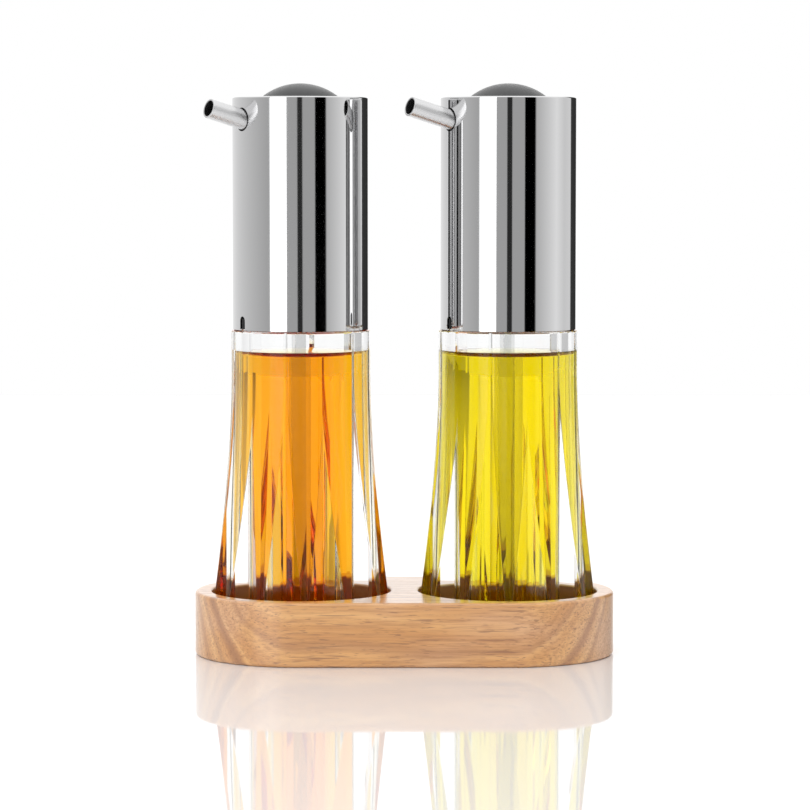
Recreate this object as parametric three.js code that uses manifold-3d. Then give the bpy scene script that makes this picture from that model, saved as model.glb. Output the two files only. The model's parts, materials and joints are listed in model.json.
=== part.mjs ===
// Oil and vinegar cruet set: a wooden tray with two recesses, and in each recess a cut clear
// bottle under a steel-sleeved pump head with a soft press dome and a small spout.
// Millimetres, +Z up, the front of the set faces -Y, the origin is under the middle of the tray.
import * as THREE from 'three';
import { mergeVertices } from 'three/addons/utils/BufferGeometryUtils.js';
import Module from 'manifold-3d';

const wasm = await Module();
wasm.setup();

// ---- driving dimensions -------------------------------------------------------------------
const GAP = 0.3; // clearance left between neighbouring pieces
const SPACING = 66.7; // between the axes of the two bottles

const TRAY = {
  endRadius: 34.3,
  height: 20.5,
  edge: 1.0,
  recessRadius: 28.9,
  recessFloor: 7.0,
  recessEdge: 0.7,
};

const BOTTLE = {
  bottom: TRAY.recessFloor + GAP,
  footRadius: 28.3,
  footEdge: 0.8,
  flareFoot: 20.5, // above here the side follows the flare curve
  flareTop: 91.5, // above here the side is a plain cylinder
  flareSpan: 67.7,
  flareGrowth: 5.1,
  flarePower: 1.6,
  collarRadius: 22.4,
  shoulder: 104.7,
  shoulderEdge: 0.6,
  neckRadius: 18.9,
  neckTop: 118.0,
  neckEdge: 0.4,
  boreRadius: 16.4,
  boreFloor: 13.2,
  boreCorner: 2.5,
  grooves: 12,
};

// the twelve upright V cuts alternate between a deep one and a shallow one
const DEEP_CUT = { valleyRadius: 21.9, flankSlope: 1.144 };
const SHALLOW_CUT = { valleyRadius: 22.8, flankSlope: 1.3 };
const CUT_REACH = 8.0;

const SLEEVE = {
  outer: 22.0,
  inner: 21.4,
  bottom: 105.0,
  top: 179.2,
  edge: 0.5,
  lipRadius: 20.2,
  sheet: 0.6,
  notchWidth: 2.8,
  notchHeight: 4.6,
};

const CHASSIS = {
  outer: SLEEVE.inner - GAP,
  bottom: 105.4,
  top: 157.0,
  skirtInner: 19.2,
  webBottom: 118.4,
  webTop: 121.0,
  plugOuter: 16.0,
  plugInner: 14.2,
  plugBottom: 107.5,
  grooveFloor: 15.0,
  grooveBottom: 110.5,
  grooveTop: 113.5,
  wallInner: 19.1,
  stemHole: 5.2,
  ventHole: 1.2,
  ventAt: 10.0,
  ribWidth: 0.9,
  ribTop: 108.7,
  ribReach: 21.8,
};

const SEAL = { inner: 15.15, outer: 16.25, bottom: 110.8, top: 113.2, bevel: 0.5 };

const FLAP = {
  brimRadius: 2.6,
  brimBottom: 117.2,
  brimTop: 118.1,
  shankRadius: 0.8,
  headRadius: 1.6,
  headBottom: 121.3,
  headTop: 122.6,
};

const CHAMBER = {
  outer: CHASSIS.outer,
  bottom: CHASSIS.top + GAP,
  rimInner: 19.1,
  plateBottom: 160.2,
  floor: 163.0,
  deck: 174.3,
  radius: 13.6,
  stemRadius: 4.6,
  stemBottom: 124.0,
  socketRadius: 2.75,
  socketTop: 152.0,
  throatRadius: 1.6,
  seatBottom: 157.5,
  ballPocket: 3.2,
};

const DIP_TUBE = { outer: 2.5, inner: 1.8, bottom: 14.8, top: 151.7 };
const BALL = { radius: 2.5, centre: 159.6, lift: 1.1 };
const CAGE = { radius: 5.5, bottom: 163.3, top: 164.6, slots: 4, slotRadius: 1.2, slotAt: 3.2 };

const DOME = {
  sphere: 19.7,
  centre: 164.0,
  wall: 1.3,
  flangeRadius: 17.3,
  flangeBottom: CHAMBER.deck + GAP,
  flangeTop: 175.6,
};

const DISC = { radius: 7.0, bottom: 179.0, stemRadius: 1.8, stemBottom: 169.6, edge: 0.4, steps: 3 };
const RING = { inner: 16.2, outer: CHASSIS.outer, bottom: 175.9, top: 178.3, edge: 0.6 };

const SPOUT = {
  rise: 15.5, // degrees above level
  crossing: 172.0, // height of its axis where it leaves the sleeve
  outer: 3.15,
  bore: 2.5,
  lip: 0.25,
  length: 17.95,
};

// where the chamber is bored for the spout, as distances from the bottle axis
const OUTLET = {
  pocketEnd: 16.6,
  pocketRadius: SPOUT.outer + GAP,
  valveEnd: 14.6,
  valveRadius: 2.7,
  channelEnd: 11.0,
  channelRadius: 1.3,
  reachOut: 30.0,
};

const VALVE = {
  brim: 2.4,
  brimStart: 14.9,
  brimEnd: 16.4,
  beak: 1.5,
  beakTip: 0.9,
  beakEnd: 19.0,
  bore: 0.5,
};

// the two dispensers: where they stand, how their cuts are turned, how far the spout is pushed in,
// and where the head points (turns and azimuths are degrees from the front towards +X)
const UNITS = [
  { name: 'vinegar', side: -1, cutTurn: -10.8, spoutInner: 16.9, azimuth: -55.8 },
  { name: 'oil', side: 1, cutTurn: -16.1, spoutInner: 19.2, azimuth: -60.0 },
];

const ROUND = { fine: 48, body: 32, small: 20, tiny: 12 };

// ---- look of each piece ---------------------------------------------------------------------
const LOOKS = {
  wood: { color: 0xc99a66, roughness: 0.62, metalness: 0 },
  acrylic: { color: 0xe9eef0, roughness: 0.06, metalness: 0, opacity: 0.35, transparent: true },
  steel: { color: 0xb9babb, roughness: 0.16, metalness: 1 },
  blackPlastic: { color: 0x1d1d1f, roughness: 0.5, metalness: 0 },
  silicone: { color: 0x6d6d6e, roughness: 0.7, metalness: 0 },
  clearSilicone: { color: 0xd9dadb, roughness: 0.55, metalness: 0 },
  clearPlastic: { color: 0xe6e8ea, roughness: 0.25, metalness: 0 },
};

// ---- geometry helpers -----------------------------------------------------------------------
const radians = (degrees) => (degrees * Math.PI) / 180;

/** Merges shared corners and drops triangles that have closed up to a line. */
function welded(geometry) {
  const bare = geometry.clone();
  bare.deleteAttribute('normal');
  bare.deleteAttribute('uv');
  const merged = mergeVertices(bare, 1e-4);
  const index = merged.index.array;
  const kept = [];
  for (let i = 0; i < index.length; i += 3) {
    const [a, b, c] = [index[i], index[i + 1], index[i + 2]];
    if (a !== b && b !== c && c !== a) kept.push(a, b, c);
  }
  merged.setIndex(kept);
  return merged;
}

/** Six times the signed volume, to tell which way the faces look. */
function signedVolume(geometry) {
  const position = geometry.attributes.position;
  const index = geometry.index.array;
  const [a, b, c] = [new THREE.Vector3(), new THREE.Vector3(), new THREE.Vector3()];
  let sum = 0;
  for (let i = 0; i < index.length; i += 3) {
    a.fromBufferAttribute(position, index[i]);
    b.fromBufferAttribute(position, index[i + 1]);
    c.fromBufferAttribute(position, index[i + 2]);
    sum += a.dot(b.cross(c));
  }
  return sum;
}

function facingOut(geometry) {
  const solid = welded(geometry);
  if (signedVolume(solid) < 0) {
    const index = solid.index.array;
    const turned = [];
    for (let i = 0; i < index.length; i += 3) turned.push(index[i], index[i + 2], index[i + 1]);
    solid.setIndex(turned);
  }
  return solid;
}

function toManifold(geometry) {
  const solid = facingOut(geometry);
  return new wasm.Manifold(
    new wasm.Mesh({
      numProp: 3,
      vertProperties: new Float32Array(solid.attributes.position.array),
      triVerts: new Uint32Array(solid.index.array),
    }),
  );
}

function fromManifold(body) {
  const mesh = body.getMesh();
  const geometry = new THREE.BufferGeometry();
  const position = new Float32Array((mesh.vertProperties.length / mesh.numProp) * 3);
  for (let i = 0; i < position.length / 3; i += 1) {
    for (let axis = 0; axis < 3; axis += 1) {
      position[i * 3 + axis] = mesh.vertProperties[i * mesh.numProp + axis];
    }
  }
  geometry.setAttribute('position', new THREE.BufferAttribute(position, 3));
  geometry.setIndex(new THREE.BufferAttribute(new Uint32Array(mesh.triVerts), 1));
  return geometry;
}

function without(body, ...cutters) {
  let result = toManifold(body);
  for (const cutter of cutters) result = result.subtract(toManifold(cutter));
  return fromManifold(result);
}

function joined(body, ...more) {
  let result = toManifold(body);
  for (const piece of more) result = result.add(toManifold(piece));
  return fromManifold(result);
}

/** Turns a closed outline of [radius, height] points round the Z axis. */
function turned(outline, segments) {
  const points = [...outline, outline[0]].map(([radius, height]) => new THREE.Vector2(radius, height));
  const geometry = new THREE.LatheGeometry(points, segments);
  geometry.rotateX(Math.PI / 2);
  return facingOut(geometry);
}

/** Points of an arc in the [radius, height] plane, angles in degrees from +radius towards +height. */
function arc(radiusAt, heightAt, size, from, to, steps) {
  const points = [];
  for (let i = 0; i <= steps; i += 1) {
    const angle = radians(from + ((to - from) * i) / steps);
    points.push([radiusAt + size * Math.cos(angle), heightAt + size * Math.sin(angle)]);
  }
  return points;
}

/** Unit vector on the level, at an azimuth in degrees from the front (-Y) towards +X. */
function heading(azimuth) {
  const angle = radians(azimuth);
  return new THREE.Vector3(Math.sin(angle), -Math.cos(angle), 0);
}

/** Lays a piece turned about Z along the rising axis of the spout. Its z=0 lands on the bottle axis. */
function alongSpout(geometry, azimuth) {
  const out = heading(azimuth);
  const rise = radians(SPOUT.rise);
  const axis = out.clone().multiplyScalar(Math.cos(rise));
  axis.z = Math.sin(rise);
  const start = new THREE.Vector3(0, 0, SPOUT.crossing - SLEEVE.outer * Math.tan(rise));
  const turn = new THREE.Quaternion().setFromUnitVectors(new THREE.Vector3(0, 0, 1), axis);
  geometry.applyQuaternion(turn);
  geometry.translate(start.x, start.y, start.z);
  return geometry;
}

/** A level distance from the bottle axis, measured along the rising spout axis instead. */
const slant = (level) => level / Math.cos(radians(SPOUT.rise));

function rod(radius, from, to, segments) {
  return turned(
    [
      [0, from],
      [radius, from],
      [radius, to],
      [0, to],
    ],
    segments,
  );
}

// ---- pieces ---------------------------------------------------------------------------------
function trayGeometry() {
  const half = SPACING / 2;
  const flat = TRAY.endRadius - TRAY.edge;
  const outline = new THREE.Shape();
  outline.moveTo(-half, -flat);
  outline.lineTo(half, -flat);
  outline.absarc(half, 0, flat, -Math.PI / 2, Math.PI / 2, false);
  outline.lineTo(-half, flat);
  outline.absarc(-half, 0, flat, Math.PI / 2, (3 * Math.PI) / 2, false);
  const board = new THREE.ExtrudeGeometry(outline, {
    depth: TRAY.height - 2 * TRAY.edge,
    bevelEnabled: true,
    bevelSize: TRAY.edge,
    bevelThickness: TRAY.edge,
    bevelSegments: 2,
    curveSegments: 16,
    steps: 1,
  });
  board.translate(0, 0, TRAY.edge);
  const recess = turned(
    [
      [0, TRAY.recessFloor],
      [TRAY.recessRadius, TRAY.recessFloor],
      [TRAY.recessRadius, TRAY.height - TRAY.recessEdge],
      [TRAY.recessRadius + TRAY.recessEdge * 0.3, TRAY.height - TRAY.recessEdge * 0.3],
      [TRAY.recessRadius + TRAY.recessEdge, TRAY.height],
      [TRAY.recessRadius + TRAY.recessEdge, TRAY.height + 1],
      [0, TRAY.height + 1],
    ],
    ROUND.fine,
  );
  const left = recess.clone().translate(-half, 0, 0);
  const right = recess.clone().translate(half, 0, 0);
  return without(board, left, right);
}

/** Radius of the flared side of the bottle at a height. */
function flareRadius(height) {
  const down = Math.max(BOTTLE.flareTop - height, 0) / BOTTLE.flareSpan;
  return BOTTLE.collarRadius + BOTTLE.flareGrowth * down ** BOTTLE.flarePower;
}

function cutGeometry(cut, azimuth) {
  const low = BOTTLE.bottom - 1;
  const high = BOTTLE.shoulder + 1;
  const outline = new THREE.Shape();
  outline.moveTo(cut.valleyRadius, 0);
  outline.lineTo(cut.valleyRadius + CUT_REACH, -CUT_REACH * cut.flankSlope);
  outline.lineTo(cut.valleyRadius + CUT_REACH, CUT_REACH * cut.flankSlope);
  outline.closePath();
  const wedge = new THREE.ExtrudeGeometry(outline, { depth: high - low, bevelEnabled: false });
  wedge.translate(0, 0, low);
  wedge.rotateZ(radians(azimuth - 90));
  return wedge;
}

function bottleGeometry(cutTurn) {
  const side = [];
  const steps = 7;
  for (let i = 0; i <= steps; i += 1) {
    const height = BOTTLE.flareFoot + ((BOTTLE.flareTop - BOTTLE.flareFoot) * i) / steps;
    side.push([flareRadius(height), height]);
  }
  const outline = [
    [0, BOTTLE.bottom],
    [BOTTLE.footRadius - BOTTLE.footEdge, BOTTLE.bottom],
    [BOTTLE.footRadius, BOTTLE.bottom + BOTTLE.footEdge],
    ...side,
    [BOTTLE.collarRadius, BOTTLE.shoulder - BOTTLE.shoulderEdge],
    [BOTTLE.collarRadius - BOTTLE.shoulderEdge, BOTTLE.shoulder],
    [BOTTLE.neckRadius, BOTTLE.shoulder],
    [BOTTLE.neckRadius, BOTTLE.neckTop - BOTTLE.neckEdge],
    [BOTTLE.neckRadius - BOTTLE.neckEdge, BOTTLE.neckTop],
    [BOTTLE.boreRadius, BOTTLE.neckTop],
    ...arc(
      BOTTLE.boreRadius - BOTTLE.boreCorner,
      BOTTLE.boreFloor + BOTTLE.boreCorner,
      BOTTLE.boreCorner,
      0,
      -90,
      4,
    ),
    [0, BOTTLE.boreFloor],
  ];
  const cutters = [];
  for (let k = 0; k < BOTTLE.grooves; k += 1) {
    const cut = k % 2 === 0 ? DEEP_CUT : SHALLOW_CUT;
    cutters.push(cutGeometry(cut, cutTurn + (360 / BOTTLE.grooves) * k));
  }
  return without(turned(outline, ROUND.fine), ...cutters);
}

function sleeveGeometry(azimuth) {
  const tube = turned(
    [
      [SLEEVE.inner, SLEEVE.bottom],
      [SLEEVE.outer - 0.15, SLEEVE.bottom],
      [SLEEVE.outer, SLEEVE.bottom + 0.15],
      ...arc(SLEEVE.outer - SLEEVE.edge, SLEEVE.top - SLEEVE.edge, SLEEVE.edge, 0, 90, 4),
      [SLEEVE.lipRadius, SLEEVE.top],
      [SLEEVE.lipRadius, SLEEVE.top - SLEEVE.sheet],
      [SLEEVE.inner, SLEEVE.top - SLEEVE.sheet],
    ],
    ROUND.fine,
  );
  const spoutHole = alongSpout(
    rod(OUTLET.pocketRadius, slant(OUTLET.pocketEnd), slant(OUTLET.reachOut), ROUND.small),
    azimuth,
  );
  const half = SLEEVE.notchWidth / 2;
  const arch = new THREE.Shape();
  arch.moveTo(-half, -1);
  arch.lineTo(half, -1);
  arch.lineTo(half, SLEEVE.notchHeight - half);
  arch.absarc(0, SLEEVE.notchHeight - half, half, 0, Math.PI, false);
  arch.closePath();
  const notch = new THREE.ExtrudeGeometry(arch, { depth: 6, bevelEnabled: false, curveSegments: 6 });
  notch.rotateX(Math.PI / 2);
  notch.translate(0, -(SLEEVE.inner - 3), SLEEVE.bottom);
  notch.rotateZ(radians(azimuth));
  return without(tube, spoutHole, notch);
}

function chassisGeometry(azimuth) {
  const shell = turned(
    [
      [CHASSIS.stemHole, CHASSIS.webBottom],
      [CHASSIS.plugInner, CHASSIS.webBottom],
      [CHASSIS.plugInner, CHASSIS.plugBottom],
      [CHASSIS.plugOuter - 0.4, CHASSIS.plugBottom],
      [CHASSIS.plugOuter, CHASSIS.plugBottom + 0.6],
      [CHASSIS.plugOuter, CHASSIS.grooveBottom],
      [CHASSIS.grooveFloor, CHASSIS.grooveBottom],
      [CHASSIS.grooveFloor, CHASSIS.grooveTop],
      [CHASSIS.plugOuter, CHASSIS.grooveTop],
      [CHASSIS.plugOuter, CHASSIS.webBottom],
      [CHASSIS.skirtInner, CHASSIS.webBottom],
      [CHASSIS.skirtInner, CHASSIS.bottom],
      [CHASSIS.outer, CHASSIS.bottom],
      [CHASSIS.outer, CHASSIS.top],
      [CHASSIS.wallInner, CHASSIS.top],
      [CHASSIS.wallInner, CHASSIS.webTop],
      [CHASSIS.stemHole, CHASSIS.webTop],
    ],
    ROUND.body,
  );
  const vent = rod(CHASSIS.ventHole, CHASSIS.webBottom - 1, CHASSIS.webTop + 1, ROUND.tiny);
  vent.translate(CHASSIS.ventAt, 0, 0);
  const reach = CHASSIS.ribReach - CHASSIS.outer + 0.6;
  const rib = new THREE.BoxGeometry(CHASSIS.ribWidth, reach, CHASSIS.ribTop - CHASSIS.bottom);
  rib.translate(0, -(CHASSIS.ribReach - reach / 2), (CHASSIS.ribTop + CHASSIS.bottom) / 2);
  rib.rotateZ(radians(azimuth));
  return joined(without(shell, vent), rib);
}

function sealGeometry() {
  return turned(
    [
      [SEAL.inner, SEAL.bottom],
      [SEAL.outer - SEAL.bevel, SEAL.bottom],
      [SEAL.outer - 0.1, SEAL.bottom + SEAL.bevel],
      [SEAL.outer, (SEAL.bottom + SEAL.top) / 2],
      [SEAL.outer - 0.1, SEAL.top - SEAL.bevel],
      [SEAL.outer - SEAL.bevel, SEAL.top],
      [SEAL.inner, SEAL.top],
    ],
    ROUND.body,
  );
}

function flapGeometry() {
  const flap = turned(
    [
      [0, FLAP.brimBottom],
      [FLAP.brimRadius * 0.6, FLAP.brimBottom],
      [FLAP.brimRadius, FLAP.brimTop - 0.35],
      [FLAP.brimRadius, FLAP.brimTop],
      [FLAP.shankRadius, FLAP.brimTop],
      [FLAP.shankRadius, FLAP.headBottom],
      [FLAP.headRadius, FLAP.headBottom],
      [FLAP.shankRadius, FLAP.headTop],
      [0, FLAP.headTop],
    ],
    ROUND.tiny,
  );
  flap.translate(CHASSIS.ventAt, 0, 0);
  return flap;
}

function chamberGeometry(azimuth) {
  const rise = CHAMBER.ballPocket - CHAMBER.throatRadius;
  const body = turned(
    [
      [CHAMBER.socketRadius, CHAMBER.stemBottom],
      [CHAMBER.stemRadius, CHAMBER.stemBottom],
      [CHAMBER.stemRadius, CHAMBER.plateBottom],
      [CHAMBER.rimInner, CHAMBER.plateBottom],
      [CHAMBER.rimInner, CHAMBER.bottom],
      [CHAMBER.outer, CHAMBER.bottom],
      [CHAMBER.outer, CHAMBER.deck],
      [CHAMBER.radius, CHAMBER.deck],
      [CHAMBER.radius, CHAMBER.floor],
      [CHAMBER.ballPocket, CHAMBER.floor],
      [CHAMBER.ballPocket, CHAMBER.seatBottom + rise],
      [CHAMBER.throatRadius, CHAMBER.seatBottom],
      [CHAMBER.throatRadius, CHAMBER.socketTop],
      [CHAMBER.socketRadius, CHAMBER.socketTop],
    ],
    ROUND.body,
  );
  const pocket = rod(
    OUTLET.pocketRadius,
    slant(OUTLET.pocketEnd),
    slant(OUTLET.reachOut),
    ROUND.small,
  );
  const valveSeat = rod(
    OUTLET.valveRadius,
    slant(OUTLET.valveEnd),
    slant(OUTLET.pocketEnd) + 0.5,
    ROUND.small,
  );
  const channel = rod(
    OUTLET.channelRadius,
    slant(OUTLET.channelEnd),
    slant(OUTLET.valveEnd) + 0.5,
    ROUND.tiny,
  );
  const bores = [pocket, valveSeat, channel].map((bore) => alongSpout(bore, azimuth));
  return without(body, ...bores);
}

function dipTubeGeometry() {
  const tube = turned(
    [
      [DIP_TUBE.inner, DIP_TUBE.bottom],
      [DIP_TUBE.outer, DIP_TUBE.bottom],
      [DIP_TUBE.outer, DIP_TUBE.top],
      [DIP_TUBE.inner, DIP_TUBE.top],
    ],
    ROUND.tiny,
  );
  // the lower end is cut askew so that the tube can't be closed off by the bottle's floor
  const bite = new THREE.BoxGeometry(20, 20, 10);
  bite.rotateY(radians(30));
  bite.translate(0, 0, DIP_TUBE.bottom - 5 / Math.cos(radians(30)) + 1.0);
  return without(tube, bite);
}

function ballGeometry() {
  const outline = arc(0, BALL.centre, BALL.radius, -90, 90, 6);
  outline[0][0] = 0;
  outline[outline.length - 1][0] = 0;
  return turned(outline, ROUND.tiny);
}

function cageGeometry() {
  const disc = turned(
    [
      [0, CAGE.bottom],
      [CAGE.radius, CAGE.bottom],
      [CAGE.radius, CAGE.top - 0.3],
      [CAGE.radius - 0.3, CAGE.top],
      [0, CAGE.top],
    ],
    ROUND.small,
  );
  const slots = [];
  for (let k = 0; k < CAGE.slots; k += 1) {
    const slot = rod(CAGE.slotRadius, CAGE.bottom - 1, CAGE.top + 1, 16);
    slot.translate(CAGE.slotAt, 0, 0);
    slot.rotateZ((2 * Math.PI * k) / CAGE.slots);
    slots.push(slot);
  }
  return without(disc, ...slots);
}

function valveGeometry(azimuth) {
  return alongSpout(
    turned(
      [
        [VALVE.bore, slant(VALVE.brimStart)],
        [VALVE.brim, slant(VALVE.brimStart)],
        [VALVE.brim, slant(VALVE.brimEnd)],
        [VALVE.beak, slant(VALVE.brimEnd)],
        [VALVE.beakTip, slant(VALVE.beakEnd)],
        [VALVE.bore, slant(VALVE.beakEnd)],
      ],
      ROUND.tiny,
    ),
    azimuth,
  );
}

function spoutGeometry(innerEnd, azimuth) {
  const start = slant(innerEnd);
  const end = start + SPOUT.length;
  return alongSpout(
    turned(
      [
        [SPOUT.bore, start],
        [SPOUT.outer, start],
        [SPOUT.outer, end - SPOUT.lip],
        [SPOUT.outer - SPOUT.lip, end],
        [SPOUT.bore, end],
      ],
      ROUND.small,
    ),
    azimuth,
  );
}

function discGeometry() {
  // its top follows the inside of the dome, one gap below it
  const crown = DOME.sphere - DOME.wall - GAP;
  const rim = (Math.acos(DISC.radius / crown) * 180) / Math.PI;
  const top = arc(0, DOME.centre, crown, rim, 90, DISC.steps);
  top[top.length - 1][0] = 0;
  return turned(
    [
      [0, DISC.stemBottom],
      [DISC.stemRadius - 0.3, DISC.stemBottom],
      [DISC.stemRadius, DISC.stemBottom + 0.3],
      [DISC.stemRadius, DISC.bottom],
      [DISC.radius - DISC.edge, DISC.bottom],
      [DISC.radius, DISC.bottom + DISC.edge],
      ...top,
    ],
    ROUND.small,
  );
}

function domeGeometry() {
  const steps = 6;
  const toFlange = (size) =>
    (Math.asin((DOME.flangeTop - DOME.centre) / size) * 180) / Math.PI;
  const outside = arc(0, DOME.centre, DOME.sphere, 90, toFlange(DOME.sphere), steps);
  const inner = DOME.sphere - DOME.wall;
  const inside = arc(0, DOME.centre, inner, toFlange(inner), 90, steps);
  outside[0][0] = 0;
  inside[inside.length - 1][0] = 0;
  const mouth = inside[0][0];
  return turned(
    [
      ...outside,
      [DOME.flangeRadius, DOME.flangeTop],
      [DOME.flangeRadius, DOME.flangeBottom],
      [mouth, DOME.flangeBottom],
      ...inside,
    ],
    ROUND.body,
  );
}

function ringGeometry() {
  return turned(
    [
      [RING.inner, RING.bottom],
      [RING.outer, RING.bottom],
      [RING.outer, RING.top],
      [RING.inner + RING.edge, RING.top],
      [RING.inner, RING.top - RING.edge],
    ],
    ROUND.body,
  );
}

// ---- assembly -------------------------------------------------------------------------------
const set = new THREE.Group();
set.name = 'cruet_set';

function add(name, geometry, look, offset = 0) {
  const placed = geometry.clone();
  placed.translate(offset, 0, 0);
  placed.computeVertexNormals();
  const mesh = new THREE.Mesh(placed, new THREE.MeshStandardMaterial(LOOKS[look]));
  mesh.name = name;
  set.add(mesh);
}

add('tray', trayGeometry(), 'wood');

for (const unit of UNITS) {
  const offset = (unit.side * SPACING) / 2;
  const pieces = [
    ['bottle', bottleGeometry(unit.cutTurn), 'acrylic'],
    ['neck_seal', sealGeometry(), 'clearSilicone'],
    ['pump_chassis', chassisGeometry(unit.azimuth), 'blackPlastic'],
    ['vent_flap', flapGeometry(), 'clearSilicone'],
    ['pump_chamber', chamberGeometry(unit.azimuth), 'blackPlastic'],
    ['dip_tube', dipTubeGeometry(), 'clearPlastic'],
    ['inlet_ball', ballGeometry(), 'steel'],
    ['valve_cage', cageGeometry(), 'blackPlastic'],
    ['outlet_valve', valveGeometry(unit.azimuth), 'clearSilicone'],
    ['spout', spoutGeometry(unit.spoutInner, unit.azimuth), 'steel'],
    ['press_disc', discGeometry(), 'blackPlastic'],
    ['dome', domeGeometry(), 'silicone'],
    ['dome_ring', ringGeometry(), 'blackPlastic'],
    ['sleeve', sleeveGeometry(unit.azimuth), 'steel'],
  ];
  for (const [part, geometry, look] of pieces) {
    add(`${unit.name}_${part}`, geometry, look, offset);
  }
}

export default set;
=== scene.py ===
"""Oil and vinegar cruet set: the visual model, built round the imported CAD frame."""

import json
import math

import bmesh
import bpy
from mathutils import Matrix, Vector

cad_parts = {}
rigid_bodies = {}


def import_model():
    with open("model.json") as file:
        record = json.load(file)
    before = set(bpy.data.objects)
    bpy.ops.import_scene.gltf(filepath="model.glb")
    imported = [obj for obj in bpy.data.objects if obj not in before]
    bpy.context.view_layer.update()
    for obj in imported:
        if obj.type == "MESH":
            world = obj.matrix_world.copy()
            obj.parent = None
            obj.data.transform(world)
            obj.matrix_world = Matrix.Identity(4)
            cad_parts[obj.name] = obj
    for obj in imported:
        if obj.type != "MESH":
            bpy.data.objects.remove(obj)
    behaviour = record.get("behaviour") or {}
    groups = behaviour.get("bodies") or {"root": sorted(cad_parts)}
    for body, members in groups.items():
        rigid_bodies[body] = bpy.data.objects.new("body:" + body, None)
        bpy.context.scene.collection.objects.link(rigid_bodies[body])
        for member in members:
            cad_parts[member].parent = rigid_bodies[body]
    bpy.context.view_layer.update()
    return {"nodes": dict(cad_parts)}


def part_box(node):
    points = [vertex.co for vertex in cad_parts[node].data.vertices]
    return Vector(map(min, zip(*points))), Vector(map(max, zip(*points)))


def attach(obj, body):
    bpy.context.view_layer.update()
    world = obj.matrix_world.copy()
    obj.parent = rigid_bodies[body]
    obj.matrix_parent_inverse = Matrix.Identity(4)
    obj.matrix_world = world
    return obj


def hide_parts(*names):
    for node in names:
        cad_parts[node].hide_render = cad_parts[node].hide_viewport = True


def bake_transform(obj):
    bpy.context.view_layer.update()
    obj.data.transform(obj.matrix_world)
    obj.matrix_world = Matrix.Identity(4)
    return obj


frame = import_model()

MM = 0.001
UNITS = ("vinegar", "oil")

# ---- sizes, in millimetres, as in the CAD model --------------------------------------------
TRAY_RADIUS = 34.3
TRAY_EDGE = 1.1
RECESS_RADIUS = 28.9
RECESS_FLOOR = 7.0

FOOT_RADIUS = 28.3
FOOT_EDGE = 0.8
FLARE_FOOT = 20.5
FLARE_TOP = 91.5
FLARE_SPAN = 67.7
FLARE_GROWTH = 5.1
FLARE_POWER = 1.6
COLLAR_RADIUS = 22.4
SHOULDER = 104.7
NECK_RADIUS = 18.9
NECK_TOP = 118.0
BORE_RADIUS = 16.4
BORE_FLOOR = 13.2
BORE_CORNER = 2.5

CUTS = 12
DEEP_CUT = (21.9, 1.144)  # valley radius, slope of the flanks
SHALLOW_CUT = (22.8, 1.3)
CUT_TURN = {"vinegar": -10.8, "oil": -16.1}  # azimuth of the first deep cut, degrees
CUT_EASE = 0.32  # how far the corners of a cut are eased
VALLEY_EASE = 0.2

LIQUID_TOP = 96.6
MENISCUS = 1.5

HEAD_AZIMUTH = {"vinegar": -55.8, "oil": -60.0}
SPOUT_RISE = 15.5
SPOUT_CROSSING = 172.0
SPOUT_OUTER = 3.15
SPOUT_BORE = 2.5
SPOUT_LENGTH = 17.95
SPOUT_INNER = {"vinegar": 16.9, "oil": 19.2}
SPOUT_HOLE = 3.6

SLEEVE_OUTER = 22.0
SLEEVE_INNER = 21.4
SLEEVE_EDGE = 0.5
SLEEVE_LIP = 20.2
SHEET = 0.6
NOTCH_WIDTH = 2.8
NOTCH_HEIGHT = 4.6

DOME_SPHERE = 19.7
DOME_CENTRE = 164.0
DOME_WALL = 1.3
DOME_FLANGE = 17.3


def axis_of(unit):
    """Level position of a dispenser's axis, from its sleeve in the CAD frame."""
    low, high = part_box(f"{unit}_sleeve")
    return (low[0] + high[0]) / 2, (low[1] + high[1]) / 2


AXIS = {unit: axis_of(unit) for unit in UNITS}


# ---- mesh helpers ---------------------------------------------------------------------------
def skin(name, rings, start=None, end=None, looped=False):
    """A closed mesh through rings of equally many points, capped at middle points."""
    count = len(rings[0])
    verts = [point for ring in rings for point in ring]
    faces = []
    spans = len(rings) if looped else len(rings) - 1
    for i in range(spans):
        a = i * count
        b = ((i + 1) % len(rings)) * count
        for j in range(count):
            k = (j + 1) % count
            faces.append((a + j, a + k, b + k, b + j))
    for cap, base in ((start, 0), (end, (len(rings) - 1) * count)):
        if cap is None:
            continue
        verts.append(cap)
        middle = len(verts) - 1
        for j in range(count):
            faces.append((base + j, base + (j + 1) % count, middle))
    mesh = bpy.data.meshes.new(name)
    mesh.from_pydata([Vector(v) * MM for v in verts], [], faces)
    bm = bmesh.new()
    bm.from_mesh(mesh)
    bmesh.ops.remove_doubles(bm, verts=bm.verts, dist=2e-6)
    bmesh.ops.dissolve_degenerate(bm, edges=bm.edges, dist=1e-7)
    bmesh.ops.recalc_face_normals(bm, faces=bm.faces)
    bm.to_mesh(mesh)
    bm.free()
    mesh.shade_smooth()
    obj = bpy.data.objects.new(name, mesh)
    bpy.context.scene.collection.objects.link(obj)
    return obj


def eased(outline, looped=True, steps=4):
    """Rounds an outline of (radius, height, ease): each corner becomes a short curve."""
    count = len(outline)
    result = []
    for i, (x, y, ease) in enumerate(outline):
        ends = not looped and i in (0, count - 1)
        if ends or ease <= 0:
            result.append((x, y))
            continue
        here = Vector((x, y))
        before = Vector(outline[i - 1][:2])
        after = Vector(outline[(i + 1) % count][:2])
        reach = min(ease, (before - here).length * 0.45, (after - here).length * 0.45)
        a = here + (before - here).normalized() * reach
        b = here + (after - here).normalized() * reach
        for k in range(steps + 1):
            t = k / steps
            p = a * (1 - t) ** 2 + here * 2 * t * (1 - t) + b * t**2
            result.append((p.x, p.y))
    return result


def ring_at(radius, height, azimuths):
    return [(radius * math.sin(a), -radius * math.cos(a), height) for a in azimuths]


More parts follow.
